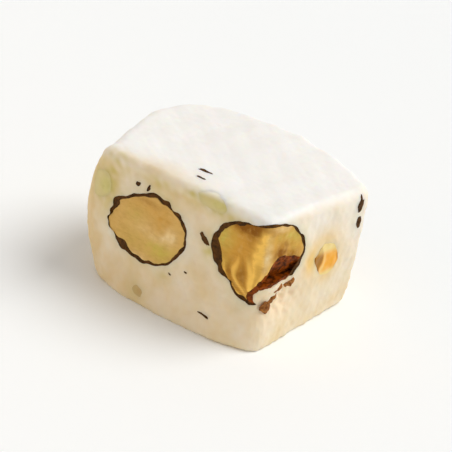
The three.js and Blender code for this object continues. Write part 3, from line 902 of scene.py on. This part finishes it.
def chopped_nut(colours):
    """Chopped pale nut: yellow-green or toasted, darker in its crumb, soaked like the nougat round it,
    veiled by the slab's skin near the top, and a faint oily sheen."""
    material, tree, place, toasted, rim, veil = blank("pale nut, chopped", "toasted", "rim", "veil")
    crumb = add(tree, "TexNoise", lumps(place, 0.9, detail=4))
    colour = tinted(
        tree, colours.nut,
        (add(tree, "MapRange", limits(crumb, 0.4, 0.75, 0.0, 0.8)), colours.nut_deep),
        (toasted, colours.nut_toasted),
        (rim, colours.soaked),
        (veil, colours.slab_skin))
    return finished(material, crumb, 0.5, 0.12, {
        "Base Color": colour, "Roughness": 0.5, "IOR": 1.47, "Subsurface Weight": 0.3,
        "Subsurface Radius": (1.2, 1.0, 0.4), "Subsurface Scale": MM})


def candied_peel(colours):
    """Candied peel: sugar-soaked, so light glows through it; amber, browner on its rind side and pale on
    its pith side, with a sticky gloss."""
    material, tree, place, pith, rind = blank("peel, candied", "pith", "rind")
    fibres = add(tree, "TexNoise", lumps(place, 0.8))
    colour = tinted(
        tree, colours.peel,
        (add(tree, "MapRange", limits(fibres, 0.5, 0.8, 0.0, 0.25)), colours.peel_pale),
        (pith, colours.peel_pale),
        (rind, colours.peel_deep))
    return finished(material, fibres, 0.4, 0.1, {
        "Base Color": colour, "Roughness": 0.35, "IOR": 1.48, "Specular IOR Level": 0.25,
        "Subsurface Weight": 0.15, "Subsurface Radius": (0.8, 0.5, 0.2), "Subsurface Scale": MM,
        "Coat Weight": 0.08, "Coat Roughness": 0.2})


def table_top(colours):
    """A plain pale table top, matt lacquer: even, with a sheen that changes slowly from place to place."""
    material, tree, place = blank("table top, matt lacquer")
    cloud = add(tree, "MapRange", limits(add(tree, "TexNoise", lumps(place, 60.0)), 0.3, 0.7, 0.55, 0.62))
    shader = add(tree, "BsdfPrincipled", {
        "Base Color": rgba(colours.floor), "Roughness": cloud, "Specular IOR Level": 0.2})
    add(tree, "OutputMaterial", {"Surface": shader})
    return material


# ------------------------------------------------------------------ pieces

def outside_of_skin(name, sizes, gap=0.0):
    """The outer side of an almond's skin, shrunk by a gap, or without one its bed in the nougat."""
    return almond_surface(name, sizes, sizes.skin_outside / MM - gap, sizes.furrow_depth / MM, seed_of(name))


def inside_of_skin(name, sizes, gap=0.0):
    """The inner side of an almond's skin, or with a gap the kernel's own outside."""
    extra = (sizes.skin_outside - sizes.skin_thickness) / MM - gap
    furrows = INNER_FURROWS * sizes.furrow_depth / MM
    points, faces = almond_surface(name, sizes, extra, furrows, seed_of(name) + INNER_SEED)
    return points + SHIFTED_IN_SKIN.get(name, (0, 0, 0)), faces


def broken_out(extra):
    """What has broken out of the corner kernel, grown by extra."""
    return squared_egg(MISSING_PART, extra, MISSING_ROUGHNESS, SEEDS["missing"])


def filling(extra):
    """The lump that holds the nougat in the foot of the broken-out hollow, grown by extra."""
    return squared_egg(FILLING, extra, FILLING_ROUGHNESS, SEEDS["filling"])


def heel(sizes, gap):
    """The nougat in the foot of the broken-out hollow, inside the hollow's lining and shrunk by a gap."""
    points, faces = broken_out(-sizes.skin_thickness / MM - gap)
    made = put("heel", (points + FILLING_CLEAR_OF_KERNEL, faces))
    carve(made, "INTERSECT", filling(-gap))
    return made


def fold_of_skin(extra):
    """The fold caught between the halves of the corner kernel, grown by extra."""
    return lump_surface(FOLD, extra, FOLD_KNOBS, SEEDS["fold"], FOLD_GRID)


def chip_lump(name, shape, extra):
    """A chip of nut or a bit of peel before it is sliced, grown by extra."""
    return lump_surface(shape, extra, CHIP_KNOBS, seed_of(name))


def flush_flake(name, shape, extra):
    """A flake of skin before it is sliced, grown by extra."""
    return lump_surface(shape, extra, FLAKE_KNOBS, seed_of(name))


def all_flecks(extra):
    """The flecks of skin before they are sliced, each grown by extra."""
    return [lump_surface(shape, extra, FLAKE_KNOBS, seed, FLECK_GRID) for seed, shape in enumerate(FLECKS)]


def sliced_face(sizes, kind):
    """The block's surface where a kind of thing in it is sliced: lifted by a height and by ripples, and on
    the kernels by the streaks of the corner one."""
    lift, waves = SLICED_FACES[kind]

    def relief(points):
        face = lift + ripples(points, SEEDS[kind], *waves)
        if kind == "kernel":
            face += STREAKS_HEIGHT * kernel_streaks(CORNER, points)
        return face

    return block_surface(sizes, relief)


def nougat_face(sizes):
    """The block's surface where it is nougat: a fine tooth, streaks that the knife dragged along, a lip
    where nougat is drawn up to an almond, a dip past it, and ragged heights in the torn hollow."""
    tooth = sizes.tooth / MM
    torn = sizes.torn_depth / MM

    def relief(points):
        top = smooth_step(points[:, 2], *TOP_FACE)
        fine = ripples(points, SEEDS["tooth"], *TOOTH_WAVES)
        dragged = ripple(points * DRAGGED_WAY, DRAGGED_LENGTH, SEEDS["dragged"])
        height = tooth * (fine * (1 - TOP_SMOOTHNESS * top) + DRAGGED_SHARE * dragged * (1 - top))
        for name in ALMONDS:
            away = almond_distance(name, points)
            lip = LIP_HEIGHT + ripples(points, seed_of(name), LIP_CHANGE)
            height += lip * np.exp(-(np.maximum(away - LIP_START, 0) / LIP_WIDTH) ** 2) * (1 - top)
            height -= DIP_DEPTH * np.exp(-((away - DIP_PLACE) / DIP_WIDTH) ** 2) * (1 - top)
        height += torn * soft_spot(points, *TORN_SPOT) * ripples(points, SEEDS["torn"], *TORN_WAVES)
        return height

    return block_surface(sizes, relief)


def cream_share(points):
    """How creamy the nougat is: 1 on the cut, less on the right face, which is painted whiter where it faces
    the light as painted light, less or more in a few spots, and 0 on the slab's skin but for the creamy spots
    along its edge."""
    right = smooth_step(points[:, 0], *RIGHT_FACE)
    rear = LIT_RIGHT_WHITENING_REAR * smooth_step(points[:, 1], *REAR)
    # Painted light: the right face, which faces the light, is painted whiter, the more so up it and towards
    # its rear.
    whitened = right * (LIT_RIGHT_WHITENING + LIT_RIGHT_WHITENING_UP * points[:, 2] + rear) + soft_spots(points, CLEAN_SPOTS)
    top = smooth_step(points[:, 2] - RIGHT_RISE * right, *SKIN_EDGE)
    return (1 - top) * (1 - whitened) + top * soft_spots(points, TOP_CREAM)


def oil_share(points):
    """How much oil the nougat has taken up: a soft spot round each stain and a faint seam by each almond."""
    share = soft_spots(points, STAINS)
    for name in ALMONDS:
        share += OIL_SEAM * np.exp(-(np.maximum(almond_distance(name, points), 0) / OIL_SEAM_WIDTH) ** 2)
    return np.clip(share * (1 + ripples(points, SEEDS["oil"], OIL_CLOUDS)), 0, 1)


def kernel_tint(name, tint, points):
    """How much of a tint a kernel has at its points: its own patches, or clouds where it has none."""
    if name not in KERNEL_PATCHES:
        return np.clip(ripples(points, seed_of(name + tint), CLOUDS) - CLOUDS_CLEAR, 0, 1)
    share = soft_spots(points, [spot for patch, *spot in KERNEL_PATCHES[name] if patch == tint])
    return np.clip(share * (1 + ripples(points, seed_of(tint), PATCH_EDGES)), 0, PATCH_MOST)


def kernel_streaks(name, points):
    """Bright and dark streaks, from -1 to 1, that run together at the corner kernel's tip, painted highlight
    and painted shade along its fracture lines: a wave of the angle round the tip, fading in a little above it
    and out further up."""
    if name != CORNER:
        return np.zeros(len(points))
    across, up = points[:, 0] - STREAKS_FROM[0], points[:, 2] - STREAKS_FROM[1]
    reach = np.hypot(across, up)
    turn = np.arctan2(across, up)
    wander = ripples(points, SEEDS["streaks"], STREAKS_WANDER)
    wave = np.sin(STREAKS_ROUND * turn + STREAKS_START + wander) * smooth_step(points[:, 1], *STREAKS_FRONT)
    return wave * smooth_step(reach, *STREAKS_IN) * smooth_step(reach, *STREAKS_OUT)


def corner_lining(name, sizes, face):
    """The dark inner side of the skin round the broken-out hollow: what lies inside the skin and in the
    missing part of the kernel, without the hollow and without the nougat in its foot."""
    thickness = sizes.skin_thickness / MM
    lining = put(name + "_lining", inside_of_skin(name, sizes, sizes.fit / MM))
    carve(lining, "INTERSECT", face)
    carve(lining, "INTERSECT", broken_out(0))
    hollow = put("hollow", broken_out(-thickness))
    carve(hollow, "DIFFERENCE", filling(thickness))
    carve(lining, "DIFFERENCE", hollow)
    carve(lining, "DIFFERENCE", heel(sizes, 0))
    return lining


def corner_fold(name, sizes, face):
    """The fold of skin in the corner kernel, sliced and kept inside the skin."""
    fold = put(name + "_fold", fold_of_skin(0))
    carve(fold, "INTERSECT", face)
    carve(fold, "INTERSECT", inside_of_skin(name, sizes, sizes.fit / MM))
    return fold


class NOUGAT_OT_block(bpy.types.Operator):
    """Make the nougat block, with a bed for everything that is set into it"""

    bl_idname = "nougat.block"
    bl_label = "Nougat block"

    def execute(self, context):
        sizes, colours = context.scene.nougat_sizes, context.scene.nougat_colours
        fit = sizes.fit / MM
        block = put("nougat", nougat_face(sizes))
        for name in ALMONDS:
            bed = put("bed", outside_of_skin(name, sizes))
            if name == CORNER:
                carve(bed, "DIFFERENCE", heel(sizes, fit))
            carve(block, "DIFFERENCE", bed)
        for name, shape in {**PEELS, **CHIPS}.items():
            carve(block, "DIFFERENCE", chip_lump(name, shape, fit))
        for name, shape in FLUSH_FLAKES.items():
            carve(block, "DIFFERENCE", flush_flake(name, shape, fit))
        for fleck in all_flecks(fit):
            carve(block, "DIFFERENCE", fleck)
        points = block_points(block)
        syrup = np.clip(soft_spots(points, SYRUPS), 0, 1)
        # Where the torn hollow is painted lighter, as painted light.
        torn = soft_spot(points, *TORN_SPOT)
        paint(block, cut=cream_share(points), oil=oil_share(points), syrup=syrup, torn=torn)
        finish_piece(block, whipped_nougat(colours), "nougat", "nougat_block")
        return {"FINISHED"}


class NOUGAT_OT_almonds(bpy.types.Operator):
    """Make the almond kernels, sliced flush with the block, and the brown skin round each"""

    bl_idname = "nougat.almonds"
    bl_label = "Almonds"

    def execute(self, context):
        sizes, colours = context.scene.nougat_sizes, context.scene.nougat_colours
        kernel_finish = almond_kernel(colours)
        skin_finish = almond_skin("almond skin, dried", colours.skin, colours.skin_deep)
        lining_finish = almond_skin("almond skin, inner side", colours.lining, colours.lining_deep)
        fit = sizes.fit / MM
        kernel_face = sliced_face(sizes, "kernel")
        skin_face = sliced_face(sizes, "skin")
        for name in ALMONDS:
            kernel = put(name + "_kernel", inside_of_skin(name, sizes, fit))
            carve(kernel, "INTERSECT", kernel_face)
            skin = put(name + "_skin", outside_of_skin(name, sizes, fit))
            carve(skin, "INTERSECT", skin_face)
            carve(skin, "DIFFERENCE", inside_of_skin(name, sizes))
            if name == CORNER:
                carve(kernel, "DIFFERENCE", broken_out(fit))
                carve(kernel, "DIFFERENCE", fold_of_skin(fit))
                carve(skin, "DIFFERENCE", heel(sizes, 0))
                finish_piece(corner_lining(name, sizes, skin_face), lining_finish, "skin", name)
                finish_piece(corner_fold(name, sizes, skin_face), skin_finish, "skin", name)
            points = block_points(kernel)
            paint(kernel, **{tint: kernel_tint(name, tint, points) for tint in KERNEL_TINTS})
            paint(kernel, streaks=kernel_streaks(name, points))
            finish_piece(kernel, kernel_finish, "kernel", name)
            finish_piece(skin, skin_finish, "skin", name)
        return {"FINISHED"}


class NOUGAT_OT_peels(bpy.types.Operator):
    """Make the bits of candied peel, sliced flush with the block"""

    bl_idname = "nougat.peels"
    bl_label = "Peel"

    def execute(self, context):
        sizes = context.scene.nougat_sizes
        finish = candied_peel(context.scene.nougat_colours)
        face = sliced_face(sizes, "peel")
        strip_place, strip_width = PITH_STRIP
        for name, shape in PEELS.items():
            peel = put(name + "_slice", chip_lump(name, shape, 0))
            carve(peel, "INTERSECT", face)
            local = (block_points(peel) - shape[0]) / np.array(shape[1])
            side = local[:, 1] + ripples(local, SEEDS["peel side"], SIDE_WAVES)
            strip = np.exp(-((side - strip_place) / strip_width) ** 2)
            above, below = smooth_step(local[:, 2], *PITH_ABOVE), smooth_step(-local[:, 2], *PITH_BELOW)
            rims = np.maximum(above, below)
            rind = smooth_step(-side, *RIND) * (1 - RIND_VEIL * rims)
            paint(peel, pith=np.maximum(rims, PITH_SHARE * strip), rind=rind)
            finish_piece(peel, finish, "peel", name)
        return {"FINISHED"}


class NOUGAT_OT_chips(bpy.types.Operator):
    """Make the chips of pale nut, sliced flush with the block"""

    bl_idname = "nougat.chips"
    bl_label = "Nut chips"

    def execute(self, context):
        sizes = context.scene.nougat_sizes
        finish = chopped_nut(context.scene.nougat_colours)
        face = nougat_face(sizes)
        for name, shape in CHIPS.items():
            chip = put(name + "_nut", chip_lump(name, shape, 0))
            carve(chip, "INTERSECT", face)
            points = block_points(chip)
            local = (points - shape[0]) / np.array(shape[1])
            rim = smooth_step(np.linalg.norm(local - RIM_SHIFT, axis=1), *RIM)
            rim *= TOASTED_RIM if name in TOASTED else 1
            toasted = np.full(len(points), TOASTED.get(name, 0.0))
            paint(chip, rim=rim, toasted=toasted, veil=VEIL_SHARE * smooth_step(points[:, 2], *VEIL))
            finish_piece(chip, finish, "pale_nut", name)
        return {"FINISHED"}


class NOUGAT_OT_flakes(bpy.types.Operator):
    """Make the flakes and flecks of almond skin"""

    bl_idname = "nougat.flakes"
    bl_label = "Flakes of skin"

    def execute(self, context):
        sizes, colours = context.scene.nougat_sizes, context.scene.nougat_colours
        flake_finish = almond_skin("almond skin, flaked", colours.flake, colours.flake_deep)
        fleck_finish = almond_skin("almond skin, crumbled", colours.skin, colours.skin_deep)
        face = sliced_face(sizes, "flake")
        for name, shape in FLUSH_FLAKES.items():
            flake = put(name + "_shard", flush_flake(name, shape, 0))
            carve(flake, "INTERSECT", face)
            finish_piece(flake, fleck_finish, "skin", name)
        for name, shape in PROUD_FLAKES.items():
            flake = put(name + "_flake", flake_surface(shape, seed_of(name)))
            finish_piece(flake, flake_finish, "skin", name)
        flecks = put("skin_flecks", joined(all_flecks(0)))
        carve(flecks, "INTERSECT", face)
        finish_piece(flecks, fleck_finish, "skin")
        return {"FINISHED"}


# ------------------------------------------------------------------ stage, in metres

CAMERA_TURN = math.radians(35.404)      # how far the camera stands round to the right of the front face
CAMERA_RISE = math.radians(27.576)      # how far above the floor it looks down from
CAMERA_ROLL = math.radians(-7.582)
CAMERA_REACH = 0.300
CAMERA_LENS = 149.0                     # focal length in millimetres
CAMERA_AIM = Vector((*BLOCK_PLACE[:2], 11.0)) * MM     # the middle of the slab's height
NEAREST_SEEN = 0.01

WINDOW_WAY = (0.28, 0.30, 0.50)         # soft daylight from the right, behind and above
WINDOW_SOFTNESS = math.radians(40)
WINDOW_STRENGTH = 2.0
WINDOW_COLOUR = "#fffefb"
BOUNCE_PLACE = (-0.35, -0.50, 0.22)     # faint amber soft box at the front left
BOUNCE_SIZE = 0.35
BOUNCE_POWER = 0.41
BOUNCE_COLOUR = "#ffba00"
ROOM_STRENGTH = 0.45
ROOM_COLOUR = "#ffffff"

FLOOR_FLAT = 0.5                        # radius of the floor's flat part, its own radius, and its rim's rise
FLOOR_REACH = 1.5
FLOOR_RISE = 0.35
FLOOR_GRID = (96, 40)                   # points round, and rings


def camera_axes():
    """The camera's right, up and back, from its turn, rise and roll."""
    turn, rise, roll = CAMERA_TURN, CAMERA_RISE, CAMERA_ROLL
    back = Vector((math.sin(turn) * math.cos(rise), -math.cos(turn) * math.cos(rise), math.sin(rise)))
    level = Vector((math.cos(turn), math.sin(turn), 0))
    upright = back.cross(level)
    right = math.cos(roll) * level - math.sin(roll) * upright
    up = math.sin(roll) * level + math.cos(roll) * upright
    return right, up, back


def hang_light(name, kind, place, way, colour, **settings):
    """A light at a place, which shines from the way given."""
    lamp = bpy.data.lights.new(name, kind)
    lamp.color = linear(colour)
    for key, value in settings.items():
        setattr(lamp, key, value)
    light = bpy.data.objects.new(name, lamp)
    light.location = place
    light.rotation_euler = Vector(way).to_track_quat("Z", "Y").to_euler()
    bpy.context.scene.collection.objects.link(light)


def dish(flat, reach, rise):
    """The floor, a function of the way round and the distance out: flat, then rising by the square of the
    distance past the flat part, so that low views still end on it."""
    around, rings = FLOOR_GRID
    turns = np.linspace(0, 2 * np.pi, around, endpoint=False)
    distances = np.linspace(0, reach, rings + 1)[1:]
    turn, distance = np.meshgrid(turns, distances, indexing="ij")
    height = rise * (np.maximum(distance - flat, 0) / (reach - flat)) ** 2
    points = np.stack([distance * np.cos(turn), distance * np.sin(turn), height], axis=-1).reshape(-1, 3)
    here = np.arange(len(points)).reshape(turn.shape)
    beside = np.roll(here, -1, axis=0)
    quads = np.stack([here[:, :-1], here[:, 1:], beside[:, 1:], beside[:, :-1]], axis=-1).reshape(-1, 4)
    return points.tolist(), quads.tolist() + [here[:, 0].tolist()]


class NOUGAT_OT_stage(bpy.types.Operator):
    """Make the floor, the light and the camera"""

    bl_idname = "nougat.stage"
    bl_label = "Stage"

    def execute(self, context):
        scene = context.scene
        floor = bpy.data.meshes.new("floor")
        points, faces = dish(FLOOR_FLAT, FLOOR_REACH, FLOOR_RISE)
        floor.from_pydata(points, [], faces)
        floor.shade_smooth()
        floor.materials.append(table_top(scene.nougat_colours))
        ground = bpy.data.objects.new("floor", floor)
        scene.collection.objects.link(ground)

        world = bpy.data.worlds.new("soft room")
        world.use_nodes = True
        sky = world.node_tree.nodes["Background"]
        sky.inputs["Color"].default_value = rgba(linear(ROOM_COLOUR))
        sky.inputs["Strength"].default_value = ROOM_STRENGTH
        scene.world = world
        hang_light(
            "window", "SUN", (0, 0, 0), WINDOW_WAY, WINDOW_COLOUR,
            energy=WINDOW_STRENGTH, angle=WINDOW_SOFTNESS)
        hang_light(
            "bounce", "AREA", BOUNCE_PLACE, Vector(BOUNCE_PLACE) - CAMERA_AIM, BOUNCE_COLOUR,
            energy=BOUNCE_POWER, size=BOUNCE_SIZE)

        lens = bpy.data.cameras.new("camera")
        lens.lens = CAMERA_LENS
        lens.clip_start = NEAREST_SEEN
        camera = bpy.data.objects.new("camera", lens)
        right, up, back = camera_axes()
        turned_to = Matrix((right, up, back)).transposed().to_4x4()
        camera.matrix_world = Matrix.Translation(CAMERA_AIM + back * CAMERA_REACH) @ turned_to
        scene.collection.objects.link(camera)
        scene.camera = camera
        scene.view_settings.view_transform = "Standard"
        return {"FINISHED"}


# ------------------------------------------------------------------ add-on

class NOUGAT_PT_panel(bpy.types.Panel):
    """Lists the pieces, their sizes and their colours"""

    bl_idname = "NOUGAT_PT_panel"
    bl_label = "Nougat piece"
    bl_space_type = "VIEW_3D"
    bl_region_type = "UI"
    bl_category = "Nougat"

    def draw(self, context):
        layout = self.layout
        for operator in OPERATORS:
            layout.operator(operator.bl_idname)
        for group in (context.scene.nougat_sizes, context.scene.nougat_colours):
            box = layout.box()
            for name in group.__annotations__:
                box.prop(group, name)


OPERATORS = (
    NOUGAT_OT_block,
    NOUGAT_OT_almonds,
    NOUGAT_OT_peels,
    NOUGAT_OT_chips,
    NOUGAT_OT_flakes,
    NOUGAT_OT_stage,
)
CLASSES = (NougatSizes, NougatColours, *OPERATORS, NOUGAT_PT_panel)


def register():
    for each in CLASSES:
        bpy.utils.register_class(each)
    bpy.types.Scene.nougat_sizes = bpy.props.PointerProperty(type=NougatSizes)
    bpy.types.Scene.nougat_colours = bpy.props.PointerProperty(type=NougatColours)


def unregister():
    del bpy.types.Scene.nougat_colours
    del bpy.types.Scene.nougat_sizes
    for each in reversed(CLASSES):
        bpy.utils.unregister_class(each)


def main():
    register()
    bpy.ops.nougat.block()
    bpy.ops.nougat.almonds()
    bpy.ops.nougat.peels()
    bpy.ops.nougat.chips()
    bpy.ops.nougat.flakes()
    bpy.ops.nougat.stage()


if __name__ == "__main__":
    main()
